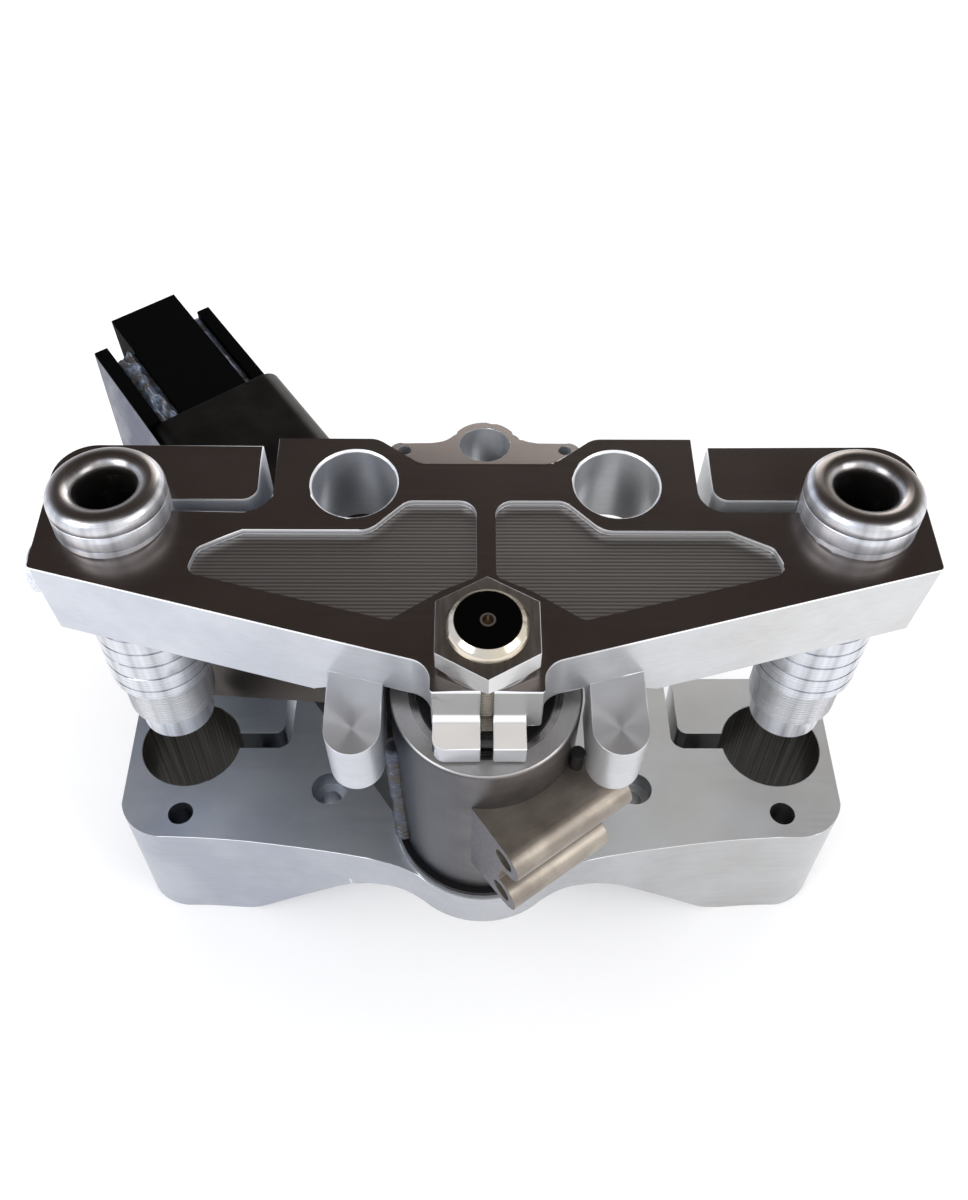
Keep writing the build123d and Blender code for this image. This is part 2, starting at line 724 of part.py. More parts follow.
# Backbone arm: a box tube coped to the neck, with two rails and a block left in its cut end
with BuildPart() as arm_tube:
    with BuildSketch(on_arm(Plane.YZ)) as box_section:
        with Locations((0, -(arm_top + arm_bottom) / 2)):
            RectangleRounded(arm_width, arm_bottom - arm_top, arm_round)
            RectangleRounded(arm_width - 2 * arm_wall, arm_bottom - arm_top - 2 * arm_wall,
                             arm_round - arm_wall, mode=Mode.SUBTRACT)
    extrude(amount=arm_length)
    with BuildSketch(stem_top):
        Circle(neck_radius)
    extrude(amount=-2 * arm_bottom, mode=Mode.SUBTRACT)
arm_tube.part.label = "arm_tube"
export_step(arm_tube.part, "parts/arm_tube.step")


def rail(left, right, top, start, end):
    """A bar along the arm between two side positions, from a top level down to the arm's base."""
    with BuildSketch(on_arm(Plane.YZ.offset(start))) as bar:
        with Locations(((left + right) / 2, -(top + arm_bottom) / 2)):
            Rectangle(abs(left - right), arm_bottom - top)
    extrude(bar.sketch, amount=end - start)


with BuildPart() as arm_left_rail:
    rail(arm_width / 2, arm_width / 2 - arm_wall, rail_top_left, arm_length, rail_end_left)
arm_left_rail.part.label = "arm_left_rail"
export_step(arm_left_rail.part, "parts/arm_left_rail.step")

with BuildPart() as arm_right_rail:
    rail(-arm_width / 2, -arm_width / 2 + arm_wall, rail_top_right, arm_length, rail_end_right)
arm_right_rail.part.label = "arm_right_rail"
export_step(arm_right_rail.part, "parts/arm_right_rail.step")

with BuildPart() as arm_block:
    with BuildSketch(on_arm(Plane.YZ.offset(arm_length - block_tail))):
        with Locations((0, -(arm_top + arm_bottom) / 2)):
            Rectangle(block_width, arm_bottom - arm_top - 2 * arm_wall)
    extrude(amount=block_tail)
    rail(block_width / 2, -block_width / 2, arm_top, arm_length, block_end)
arm_block.part.label = "arm_block"
export_step(arm_block.part, "parts/arm_block.step")

with BuildPart() as rail_weld_left:
    rail(arm_width / 2 - arm_wall, block_width / 2, arm_top + rail_weld_drop, arm_length,
         arm_length + rail_weld_reach)
rail_weld_left.part.label = "rail_weld_left"
export_step(rail_weld_left.part, "parts/rail_weld_left.step")

with BuildPart() as rail_weld_right:
    rail(-arm_width / 2 + arm_wall, -block_width / 2, rail_top_right + rail_weld_drop, arm_length, block_end)
rail_weld_right.part.label = "rail_weld_right"
export_step(rail_weld_right.part, "parts/rail_weld_right.step")

# Side gusset: a sloping plate that hangs from the arm's left top edge
slope = radians(gusset_slope)
gusset_plane = on_arm(Plane(origin=(0, arm_width / 2, -arm_top), x_dir=(1, 0, 0),
                            z_dir=(0, sin(slope), cos(slope))))
with BuildPart() as arm_gusset:
    with BuildSketch(gusset_plane) as gusset:
        with BuildLine():
            Polyline((gusset_start, 0), (rail_end_left, 0), gusset_corner, close=True)
        make_face()
        fillet(gusset.vertices().sort_by(Axis.Y)[-1], gusset_round)
    extrude(amount=-gusset_thickness)
    with BuildSketch(on_arm(Plane.XZ.offset(-arm_width / 2))):
        Rectangle(4 * arm_length, 4 * arm_length)
    extrude(amount=arm_width, mode=Mode.SUBTRACT)
arm_gusset.part.label = "arm_gusset"
export_step(arm_gusset.part, "parts/arm_gusset.step")

# Weld bead down the line where the arm's left wall meets the neck
with BuildPart() as neck_weld:
    with BuildSketch(on_arm(Plane.XY.offset(-bead_top))):
        with Locations((0, neck_radius + bead_radius / 3)):
            Circle(bead_radius)
    extrude(amount=bead_top - bead_bottom)
    with BuildSketch(stem_top):
        Circle(neck_radius)
    extrude(amount=-2 * arm_bottom, mode=Mode.SUBTRACT)
    with BuildSketch(on_arm(Plane.YZ)):
        with Locations((0, -(arm_top + arm_bottom) / 2)):
            Rectangle(arm_width, arm_bottom - arm_top)
    extrude(amount=arm_length, mode=Mode.SUBTRACT)
neck_weld.part.label = "neck_weld"
export_step(neck_weld.part, "parts/neck_weld.step")

# Twin-lobe bracket on the neck, opposite the arm
with BuildPart() as neck_bracket:
    with BuildSketch(on_arm(Plane.XZ.offset(-bracket_left))):
        with BuildLine():
            Polyline(
                (-neck_radius / 2, -upper_lobe + lobe_radius), (-lobe_reach, -upper_lobe + lobe_radius),
                (-lobe_reach, -upper_lobe), (-bracket_web, -upper_lobe), (-bracket_web, -lower_lobe),
                (-lobe_reach, -lower_lobe), (-lobe_reach, -lower_lobe - lobe_radius),
                (-neck_radius / 2, -bracket_foot), close=True,
            )
        make_face()
        with Locations((-lobe_reach, -upper_lobe), (-lobe_reach, -lower_lobe)):
            Circle(lobe_radius)
    extrude(amount=bracket_left + bracket_right)
    with BuildSketch(on_arm(Plane.XZ.offset(bracket_right))):
        with Locations((-lobe_reach, -upper_lobe)):
            Circle(lobe_radius)
    extrude(amount=bracket_lobe_right - bracket_right)
    with BuildSketch(on_arm(Plane.XZ.offset(-bracket_left))):
        with Locations((-lobe_reach, -upper_lobe), (-lobe_reach, -lower_lobe)):
            Circle(lobe_bore_radius)
    extrude(amount=2 * bracket_lobe_right + bracket_left, mode=Mode.SUBTRACT)
    with BuildSketch(stem_top):
        Circle(neck_radius)
    extrude(amount=-2 * arm_bottom, mode=Mode.SUBTRACT)
neck_bracket.part.label = "neck_bracket"
export_step(neck_bracket.part, "parts/neck_bracket.step")

# Stop peg that stands on the bracket beside the neck and meets the right lug at full left lock
with BuildPart() as bracket_peg:
    with BuildSketch(on_arm(Plane.XY.offset(-upper_lobe + lobe_radius))):
        with Locations((-peg_reach, -peg_side)):
            Circle(peg_radius)
    extrude(amount=peg_height)
bracket_peg.part.label = "bracket_peg"
export_step(bracket_peg.part, "parts/bracket_peg.step")
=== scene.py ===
# %% [markdown]
# # A raked triple clamp, dressed from its CAD model
# The object is a motorcycle's steering assembly on a bench: two billet clamps joined by a stem,
# and between them a neck tube that was sawn out of a frame together with a stub of its backbone.
# The solids come from the CAD model and never move here. This notebook breaks their edges, gives
# every metal its machining marks, and adds the welds and threads that a CAD solid leaves plain.

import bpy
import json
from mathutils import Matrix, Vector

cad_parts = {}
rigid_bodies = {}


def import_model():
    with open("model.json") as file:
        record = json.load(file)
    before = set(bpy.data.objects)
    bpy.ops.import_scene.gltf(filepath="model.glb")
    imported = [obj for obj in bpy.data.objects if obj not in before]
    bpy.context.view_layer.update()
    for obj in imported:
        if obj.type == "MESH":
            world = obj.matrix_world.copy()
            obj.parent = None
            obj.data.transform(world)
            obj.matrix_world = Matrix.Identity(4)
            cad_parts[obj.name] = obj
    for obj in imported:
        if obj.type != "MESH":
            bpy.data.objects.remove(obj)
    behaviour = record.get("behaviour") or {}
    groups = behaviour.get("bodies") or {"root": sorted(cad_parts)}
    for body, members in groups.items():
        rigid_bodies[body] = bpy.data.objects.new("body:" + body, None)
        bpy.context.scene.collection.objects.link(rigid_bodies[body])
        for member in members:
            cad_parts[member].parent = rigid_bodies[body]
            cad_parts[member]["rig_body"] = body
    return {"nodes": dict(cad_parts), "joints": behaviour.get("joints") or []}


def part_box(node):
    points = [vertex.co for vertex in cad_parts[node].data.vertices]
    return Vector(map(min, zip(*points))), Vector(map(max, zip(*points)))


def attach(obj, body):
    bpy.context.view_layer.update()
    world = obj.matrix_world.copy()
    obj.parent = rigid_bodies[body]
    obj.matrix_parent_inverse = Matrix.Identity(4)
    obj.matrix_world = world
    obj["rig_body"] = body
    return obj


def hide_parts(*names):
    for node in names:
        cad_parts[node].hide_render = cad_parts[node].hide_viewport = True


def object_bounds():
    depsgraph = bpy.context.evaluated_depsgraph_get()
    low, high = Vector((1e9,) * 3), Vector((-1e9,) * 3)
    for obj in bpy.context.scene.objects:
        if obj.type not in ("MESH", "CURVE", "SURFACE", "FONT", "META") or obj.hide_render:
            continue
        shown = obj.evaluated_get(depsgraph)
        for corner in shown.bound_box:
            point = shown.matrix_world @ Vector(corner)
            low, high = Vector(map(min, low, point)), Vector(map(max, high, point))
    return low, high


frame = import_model()
cad_low, cad_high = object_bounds()

# %% [markdown]
# ## Three frames of reference
# The forks stand upright along Z, the stem leans seven degrees, and the arm points away from the
# stem at an angle. A pattern such as cutter marks is easiest to describe in the frame of its own
# part, so each frame is a matrix. The stem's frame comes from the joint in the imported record.

# %% Stem frame, arm frame and fork axes
import json
import math

import bmesh
import bpy
from mathutils import Matrix, Vector, noise

UP = (0, 0, 1)
joint = frame["joints"][0]
stem_up = Vector(joint["axis"]).normalized()
stem_rear = stem_up.cross(Vector((1, 0, 0))).normalized()
stem_turn = Matrix(((1, 0, 0), stem_rear, stem_up)).transposed().to_4x4()
stem_frame = Matrix.Translation(joint["pos_m"]) @ stem_turn
ARM_TURN = math.radians(125.3)
arm_frame = stem_frame @ Matrix.Rotation(ARM_TURN, 4, "Z")
world_frame = Matrix.Identity(4)
fork_low, fork_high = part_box("fork_stub_right")
FORK_X = (fork_low.x + fork_high.x) / 2
FORK_TOP = fork_high.z
LOWER_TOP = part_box("lower_clamp")[1].z
print("lean", round(math.degrees(math.acos(stem_up.z)), 2), "fork axis at", round(FORK_X, 5))

# %% [markdown]
# ## Camera
# The photograph looks down on the clamps from the front. Its camera was solved from the outlines
# of the round bores and straight edges, so its place, turn and focal length are typed in here.
# The shift keeps the solved optical centre, which is a few pixels off the middle.

# %% Camera at the photograph's viewpoint
IMAGE_WIDTH, IMAGE_HEIGHT = 968, 1200
FOCAL_PIXELS, CENTRE_U, CENTRE_V = 1105.0, 476.725, 595.466
CAMERA_PLACE = (-0.005784, -0.260375, 0.462055)
camera_right = Vector((0.999969, -0.003177, 0.007191))
camera_up = Vector((-0.002281, 0.758061, 0.652180))
camera_data = bpy.data.cameras.new("view")
camera = bpy.data.objects.new("view", camera_data)
bpy.context.scene.collection.objects.link(camera)
camera_data.sensor_width = 36.0
camera_data.lens = FOCAL_PIXELS / IMAGE_HEIGHT * camera_data.sensor_width
camera_data.shift_x = (IMAGE_WIDTH / 2 - CENTRE_U) / IMAGE_HEIGHT
camera_data.shift_y = (CENTRE_V - IMAGE_HEIGHT / 2) / IMAGE_HEIGHT
camera_data.clip_start, camera_data.clip_end = 0.01, 20
turn = Matrix((camera_right, camera_up, camera_right.cross(camera_up))).transposed().to_4x4()
camera.matrix_world = Matrix.Translation(CAMERA_PLACE) @ turn
bpy.context.scene.camera = camera
print("lens", round(camera_data.lens, 2), "mm")

# %% [markdown]
# ## Writing shaders as sums
# A material is a tree of nodes. Typed one node at a time it hides its idea, so a few short helpers
# let a finish be written like a sum: add a node, mix two colours, stretch a range, multiply. An
# input is named by its label, or by its number where labels repeat, as in i0 and i1.

# %% Helpers for shader nodes


def plant(tree, kind, settings=(), **inputs):
    """One node. A socket given as an input is linked, and a number or colour is typed in."""
    node = tree.nodes.new(kind)
    for name, value in dict(settings).items():
        setattr(node, name, value)
    for name, value in inputs.items():
        target = node.inputs[int(name[1:])] if name[1:].isdigit() else node.inputs[name.replace("_", " ")]
        if isinstance(value, bpy.types.NodeSocket):
            tree.links.new(value, target)
        else:
            target.default_value = value
    return node


def add(tree, kind, settings=(), **inputs):
    """One shader node, by its short name."""
    return plant(tree, "ShaderNode" + kind, settings, **inputs)


def mix(tree, share, first, second):
    """A colour between two colours."""
    return add(tree, "Mix", {"data_type": "RGBA"}, i0=share, i6=first, i7=second).outputs[2]


def remap(tree, value, start, end, low=0.0, high=1.0):
    """A value stretched from one range to another and held at its ends."""
    node = add(tree, "MapRange", Value=value, From_Min=start, From_Max=end, To_Min=low, To_Max=high)
    return node.outputs[0]


def calc(tree, operation, first, second=0.0):
    """One operation on two values, or on the first alone."""
    return add(tree, "Math", {"operation": operation}, i0=first, i1=second).outputs[0]


def times(tree, first, *others):
    """A product of two or more values."""
    for other in others:
        first = calc(tree, "MULTIPLY", first, other)
    return first


def plus(tree, first, *others):
    """A sum of two or more values."""
    for other in others:
        first = calc(tree, "ADD", first, other)
    return first


def distance(tree, x, y):
    """How far a point lies from an axis, from its two parts across that axis."""
    return calc(tree, "SQRT", plus(tree, times(tree, x, x), times(tree, y, y)))


print("node helpers ready")

# %% [markdown]
# ## Light: the room
# Machined metal is a mirror, so it shows the room more than its own colour. A low pale horizon gives
# the upright faces their silver, bluish on the left and warm on the right, and a dim ceiling gives
# the flat tops their dark tone. The camera itself sees plain white behind the object.

# %% World
WHITE = (1, 1, 1, 1)
world = bpy.data.worlds.new("studio")
bpy.context.scene.world = world
bpy.context.scene.view_settings.view_transform = "Standard"
world.use_nodes = True
sky = world.node_tree
sky.nodes.clear()
direction = add(sky, "TexCoord").outputs["Generated"]
east, north, height = add(sky, "SeparateXYZ", Vector=direction).outputs
ceiling = times(sky, remap(sky, height, 0.25, 0.62), remap(sky, north, -0.64, -0.42))
open_side = mix(sky, remap(sky, east, -0.5, 0.3), (0.86, 0.93, 1.06, 1), (1.0, 0.99, 0.97, 1))
room = mix(sky, ceiling, open_side, (0.075, 0.06, 0.055, 1))
paths = add(sky, "LightPath").outputs
seen = mix(sky, paths["Is Glossy Ray"], (0.84, 0.84, 0.86, 1), room)
seen = mix(sky, paths["Is Camera Ray"], seen, WHITE)
background = add(sky, "Background", Color=seen, Strength=1.0)
add(sky, "OutputWorld", Surface=background.outputs[0])
print(world.name, len(sky.nodes), "nodes")

# %% [markdown]
# ## Light: the floor
# The floor is plain pale paper. It throws light up at the walls and keeps the object's shadow. A
# little glow of its own lifts it to the white of the background. It lies a hair below the object, so
# the two surfaces never share one plane.

# %% Floor
FLOOR_REACH, FLOOR_DROP = 4.0, 0.0002
ends = [(-1, -1), (1, -1), (1, 1), (-1, 1)]
floor_mesh = bpy.data.meshes.new("floor")
floor_mesh.from_pydata([(FLOOR_REACH * i, FLOOR_REACH * j, -FLOOR_DROP) for i, j in ends], [], [(0, 1, 2, 3)])
floor = bpy.data.objects.new("floor", floor_mesh)
bpy.context.scene.collection.objects.link(floor)
paper = bpy.data.materials.new("paper")
paper.use_nodes = True
paper.node_tree.nodes.clear()
matt = add(paper.node_tree, "BsdfDiffuse", Color=(0.90, 0.90, 0.90, 1))
glow = add(paper.node_tree, "Emission", Color=WHITE, Strength=0.14)
both = add(paper.node_tree, "AddShader", i0=matt.outputs[0], i1=glow.outputs[0])
add(paper.node_tree, "OutputMaterial", Surface=both.outputs[0])
floor_mesh.materials.append(paper)
print("floor", 2 * FLOOR_REACH, "m wide")

# %% [markdown]
# ## Light: the lamps
# Three large area lamps keep the shadows soft. The stronger one stands low at the front left, where
# the photograph is brightest, and one behind lights the rear walls for views from that side.

# %% Lamps


def soft_lamp(name, place, size, power):
    """A square area lamp aimed at the middle of the object."""
    data = bpy.data.lights.new(name, "AREA")
    data.size, data.energy = size, power
    lamp = bpy.data.objects.new(name, data)
    aim = (middle - Vector(place)).to_track_quat("-Z", "Y").to_matrix().to_4x4()
    lamp.matrix_world = Matrix.Translation(place) @ aim
    bpy.context.scene.collection.objects.link(lamp)
    return lamp


middle = (cad_low + cad_high) / 2
lamps = [
    soft_lamp("key_left", (-1.1, -0.9, 0.9), 0.9, 9.0),
    soft_lamp("fill_right", (1.2, -0.7, 0.7), 0.9, 6.0),
    soft_lamp("rear_high", (0.2, 1.3, 0.75), 0.8, 5.0),
]
print("lamps:", [lamp.name for lamp in lamps])

# %% [markdown]
# ## Finishes
# Every finish starts from one metal shader and three questions: in which frame do its marks run,
# how far apart are they, and where on the part do they change? Where a finish changes between a
# top and a side, the surface's own normal picks it, never the camera.

# %% Helpers for places on a part


def finish(name):
    """An empty material and its tree."""
    made = bpy.data.materials.new(name)
    made.use_nodes = True
    made.node_tree.nodes.clear()
    return made, made.node_tree


def coordinates(tree, place):
    """Object coordinates carried into a part's own frame."""
    back = place.inverted()
    whole = add(tree, "TexCoord").outputs["Object"]
    return add(tree, "Mapping", Vector=whole, Location=back.translation, Rotation=back.to_euler()).outputs[0]


def axes(tree, where):
    """The three parts of a position."""
    return add(tree, "SeparateXYZ", Vector=where).outputs


def joined(tree, **parts):
    """A position from its parts. A part left out is 0."""
    return add(tree, "CombineXYZ", **parts).outputs[0]


def facing(tree, axis):
    """How squarely the surface faces a direction, from 1 through 0 to -1."""
    normal = add(tree, "TexCoord").outputs["Normal"]
    return add(tree, "VectorMath", {"operation": "DOT_PRODUCT"}, i0=normal, i1=tuple(axis)).outputs["Value"]


def top_of(tree, axis):
    """1 on the flat tops that face along an axis, 0 on everything steeper."""
    return remap(tree, facing(tree, axis), 0.80, 0.97)


def broken(tree, axis):
    """Where a surface faces between sideways and straight along an axis, as a broken edge does."""
    lean = facing(tree, axis)
    return times(tree, remap(tree, lean, 0.12, 0.35), remap(tree, lean, 0.96, 0.85))


print("place helpers ready")

# %% [markdown]
# ## Marks and metal
# Marks come from noise that is stretched along the cutter's path, so no two lines are alike. The
# same noise feeds the colour, the roughness and the relief, and so all three agree.

# %% Helpers for marks and metal


def marks(tree, where, stretch, detail=3.0):
    """Noise with a different number of marks per metre along each axis."""
    scaled = add(tree, "VectorMath", {"operation": "MULTIPLY"}, i0=where, i1=stretch).outputs[0]
    return add(tree, "TexNoise", Vector=scaled, Scale=1.0, Detail=detail, Roughness=0.6).outputs[0]


def metal(tree, colour, roughness, relief, depth=0.00006, strength=0.4, metallic=1.0):
    """The shared metal shader: a colour, a roughness and a relief that tips the surface."""
    bump = add(tree, "Bump", Height=relief, Strength=strength, Distance=depth)
    shader = add(tree, "BsdfPrincipled", Base_Color=colour, Roughness=roughness, Metallic=metallic,
                 Normal=bump.outputs[0])
    add(tree, "OutputMaterial", Surface=shader.outputs[0])
    return shader


def shade(colour, share):
    """A darker copy of a colour."""
    return tuple(share * part for part in colour[:3]) + (1,)


# Painted highlight: the broken edges and a band just below the top are painted this near white.
PAINTED_EDGE_HIGHLIGHT = (0.98, 0.98, 1.0, 1)
RIM_DEPTH, RIM_FULL = 0.0013, 0.0009
print("metal helpers ready")

# %% [markdown]
# ## Billet of the upper clamp: where is what?
# One material covers a part with many kinds of surface, so the first step is to tell them apart.
# Each zone is a number between 0 and 1. Height in the stem's frame tells the pocket floors and the
# lower steps from the top, and a place in the plan tells the pinch ears from the stop lugs.

# %% Zones of the upper clamp
STEP_REAR, EARS_HALF = 0.012, 0.026
BOSS_HALF, BOSS_FRONT, BOSS_REAR = 0.0172, -0.0235, -0.012
billet, tree = finish("fly_cut_billet")
spot = coordinates(tree, stem_frame)
x, y, z = axes(tree, spot)
aside = calc(tree, "ABSOLUTE", x)
upward = top_of(tree, stem_up)
sunk = times(tree, remap(tree, z, -0.0006, -0.0018), remap(tree, z, -0.0032, -0.0028), upward)
step = times(tree, upward, remap(tree, z, -0.0040, -0.0046), calc(tree, "LESS_THAN", y, STEP_REAR))
ears = times(tree, step, calc(tree, "LESS_THAN", aside, EARS_HALF))
boss = times(tree, calc(tree, "LESS_THAN", aside, BOSS_HALF), calc(tree, "GREATER_THAN", y, BOSS_FRONT),
             calc(tree, "LESS_THAN", y, BOSS_REAR))
# Painted highlight: a band just below the top on the steeper faces, which is painted nearly white below.
rim_highlight = times(tree, remap(tree, z, -RIM_DEPTH, -RIM_FULL), remap(tree, upward, 0.6, 0.0))
print("zones: upward, sunk, step, ears, boss, rim")

# %% [markdown]
# ## Billet of the upper clamp: marks
# The top was fly-cut to a near mirror, the walls carry fine lines along their length, and the two
# pockets keep the cutter's side-to-side passes, about 1.4 mm apart, as a sine across them. The lugs
# were faced with a turning cutter, so their marks are rings about each lug's centre.

# %% Marks of the upper clamp
PASSES = 4500.0  # radians per metre, which is a pass each 1.4 mm
LUG_OFFSET, LUG_CENTRE = 0.0422, 0.0178
along_x = marks(tree, spot, (14, 700, 700))
cloud = marks(tree, spot, (26, 26, 26), 4.0)
passes = times(tree, calc(tree, "SINE", times(tree, y, PASSES)), 0.5, sunk)
off_lug = calc(tree, "SUBTRACT", aside, LUG_OFFSET)
from_lug = plus(tree, y, LUG_CENTRE)
swirl = marks(tree, joined(tree, X=distance(tree, off_lug, from_lug)), (2200, 1, 1))
swirl = times(tree, swirl, step)
relief = times(tree, along_x, remap(tree, upward, 0.0, 1.0, 0.5, 0.12))
relief = plus(tree, relief, passes, times(tree, swirl, 0.8))
print("pass every", round(2000 * math.pi / PASSES, 2), "mm")

# %% [markdown]
# ## Billet of the upper clamp: colour
# Every zone has its own tone, and each mix lays one zone over those before it. The last one is a
# painted highlight: the broken edge and a band just below it on the walls are painted nearly white.

# %% Colours of the upper clamp
# Painted reflection: the flat top is painted dark brown, the dim ceiling it mirrors, with a random cloud.
top_tone = mix(tree, cloud, (0.22, 0.19, 0.175, 1), (0.34, 0.30, 0.28, 1))
pocket_tone = mix(tree, remap(tree, passes, -0.5, 0.5), (0.21, 0.20, 0.195, 1), (0.46, 0.44, 0.42, 1))
# Painted highlight: the tops of the pinch ears are painted nearly white, lighter than the lug tops.
step_tone = mix(tree, ears, (0.66, 0.66, 0.67, 1), (0.93, 0.90, 0.86, 1))
# Painted reflection: the walls are painted bluish on the left and neutral on the right, like the room.
wall_tone = mix(tree, remap(tree, x, -0.09, 0.09), (0.54, 0.57, 0.64, 1), (0.59, 0.59, 0.58, 1))
wall_tone = mix(tree, remap(tree, along_x, 0.3, 0.7, 0.0, 0.35), wall_tone, (0.44, 0.44, 0.45, 1))
wall_tone = mix(tree, remap(tree, cloud, 0.40, 0.75, 0.0, 0.5), wall_tone, (0.72, 0.74, 0.78, 1))
# Painted shade: the walls of the boss in front of the stem, between the ears, are painted darker.
wall_tone = mix(tree, times(tree, boss, 0.75), wall_tone, (0.30, 0.30, 0.295, 1))
tone = mix(tree, upward, wall_tone, mix(tree, sunk, top_tone, pocket_tone))
tone = mix(tree, step, tone, step_tone)
# Painted highlight: the broken edge and the band below it are painted nearly white.
tone = mix(tree, calc(tree, "MAXIMUM", broken(tree, stem_up), rim_highlight), tone, PAINTED_EDGE_HIGHLIGHT)
print("upper clamp coloured")

# %% [markdown]
# ## Billet of the upper clamp: shine
# A faced lug stretches its reflection across its rings, which makes the bright hourglass on it. The
# Anisotropic setting does that once its Tangent runs round the lug, and only the lugs get it.

# %% Shine of the upper clamp
gloss = remap(tree, along_x, 0.3, 0.7, 0.22, 0.26)
gloss = plus(tree, gloss, times(tree, calc(tree, "SUBTRACT", 1.0, upward), 0.10),
             times(tree, plus(tree, sunk, step), 0.16))
body = calc(tree, "SUBTRACT", remap(tree, upward, 0.0, 1.0, 0.72, 1.0), times(tree, step, 0.16))
body = calc(tree, "SUBTRACT", body, times(tree, ears, 0.44))
shader = metal(tree, tone, gloss, relief, 0.00005, 0.35, body)
side_of = times(tree, off_lug, calc(tree, "SIGN", x))
round_lug = joined(tree, X=times(tree, from_lug, -1.0), Y=times(tree, side_of, stem_rear.y),
                   Z=times(tree, side_of, stem_rear.z))
round_lug = add(tree, "VectorMath", {"operation": "NORMALIZE"}, i0=round_lug).outputs[0]
tree.links.new(round_lug, shader.inputs["Tangent"])
tree.links.new(times(tree, calc(tree, "SUBTRACT", step, ears), 0.9), shader.inputs["Anisotropic"])
print(billet.name, len(tree.nodes), "nodes")

# %% [markdown]
# ## Satin of the lower clamp: zones and marks
# The lower clamp kept a rougher, greyer top. Its fork bores show the ribs of a boring bar, which run
# up and down, so their noise follows the angle about each bore. The bores are also painted dark, a painted
# shade.

# %% Zones and marks of the lower clamp
BORE_RADIUS = 0.0209
satin, tree = finish("satin_billet")
spot = coordinates(tree, world_frame)
x, y, z = axes(tree, spot)
upward = top_of(tree, UP)
off_axis = calc(tree, "SUBTRACT", calc(tree, "ABSOLUTE", x), FORK_X)
bored = calc(tree, "LESS_THAN", distance(tree, off_axis, y), BORE_RADIUS)
# Painted highlight: a band just below the top, fainter at the bores.
rim_highlight = times(tree, remap(tree, z, LOWER_TOP - RIM_DEPTH, LOWER_TOP - RIM_FULL),
            remap(tree, upward, 0.6, 0.0), remap(tree, bored, 0.0, 1.0, 1.0, 0.3))
round_bore = joined(tree, X=calc(tree, "ARCTAN2", y, off_axis), Y=times(tree, z, 8.0))
ribs = marks(tree, round_bore, (26, 1, 1), 2.0)
along_x = marks(tree, spot, (18, 800, 800))
cloud = marks(tree, spot, (30, 30, 30), 4.0)
relief = plus(tree, along_x, times(tree, ribs, bored, 3.0))
print("bores of", round(2000 * BORE_RADIUS, 1), "mm found by radius")

# %% [markdown]
# ## Satin of the lower clamp: colour and shine
# The tones are a painted reflection of the room: bluish on the left, neutral on the right. The top is
# a little less of a mirror than the walls, because a satin surface scatters what it reflects.

# %% Colour and shine of the lower clamp
# Painted reflection: bluish on the left, neutral on the right.
side_tone = mix(tree, remap(tree, x, -0.12, 0.08), (0.50, 0.56, 0.66, 1), (0.66, 0.66, 0.64, 1))
top_tone = mix(tree, remap(tree, cloud, 0.35, 0.7, 0.0, 0.5), side_tone, (0.78, 0.80, 0.83, 1))
# Painted reflection: the walls too are painted bluish on the left.
wall_tone = mix(tree, remap(tree, x, -0.09, 0.09), (0.42, 0.45, 0.52, 1), (0.50, 0.50, 0.49, 1))
wall_tone = mix(tree, remap(tree, along_x, 0.3, 0.7, 0.0, 0.35), wall_tone, (0.38, 0.38, 0.39, 1))
wall_tone = mix(tree, remap(tree, cloud, 0.40, 0.75, 0.0, 0.5), wall_tone, (0.62, 0.64, 0.68, 1))
# Painted shade: the bore walls are painted dark, with the boring bar's ribs as lighter and darker bands.
bore_tone = mix(tree, remap(tree, ribs, 0.35, 0.65), (0.085, 0.080, 0.074, 1), (0.26, 0.25, 0.235, 1))
tone = mix(tree, bored, mix(tree, upward, wall_tone, top_tone), bore_tone)
# Painted highlight: the broken edge and the band below the top are painted nearly white.
tone = mix(tree, calc(tree, "MAXIMUM", broken(tree, UP), rim_highlight), tone, PAINTED_EDGE_HIGHLIGHT)
gloss = plus(tree, remap(tree, along_x, 0.3, 0.7, 0.32, 0.40), times(tree, upward, 0.10))
body = calc(tree, "SUBTRACT", 1.0, times(tree, upward, 0.18))
metal(tree, tone, gloss, relief, 0.00005, 0.35, body)
print(satin.name, len(tree.nodes), "nodes")

# %% [markdown]
# ## Turned pieces
# Caps, rings and stubs came off a lathe, so their marks are rings: noise that changes quickly
# with height and radius about the fork axis and hardly at all round it. Broad dark streaks round the
# axis are painted reflection bands, like the soft bands that a lathe-turned wall shows. A throat is
# smooth and painted darker, a painted shade inside the bore. A cap's crown, where it faces up, is
# painted dark brown, a painted reflection of the dim ceiling.

# %% Turned finishes for the fork line and the stem line


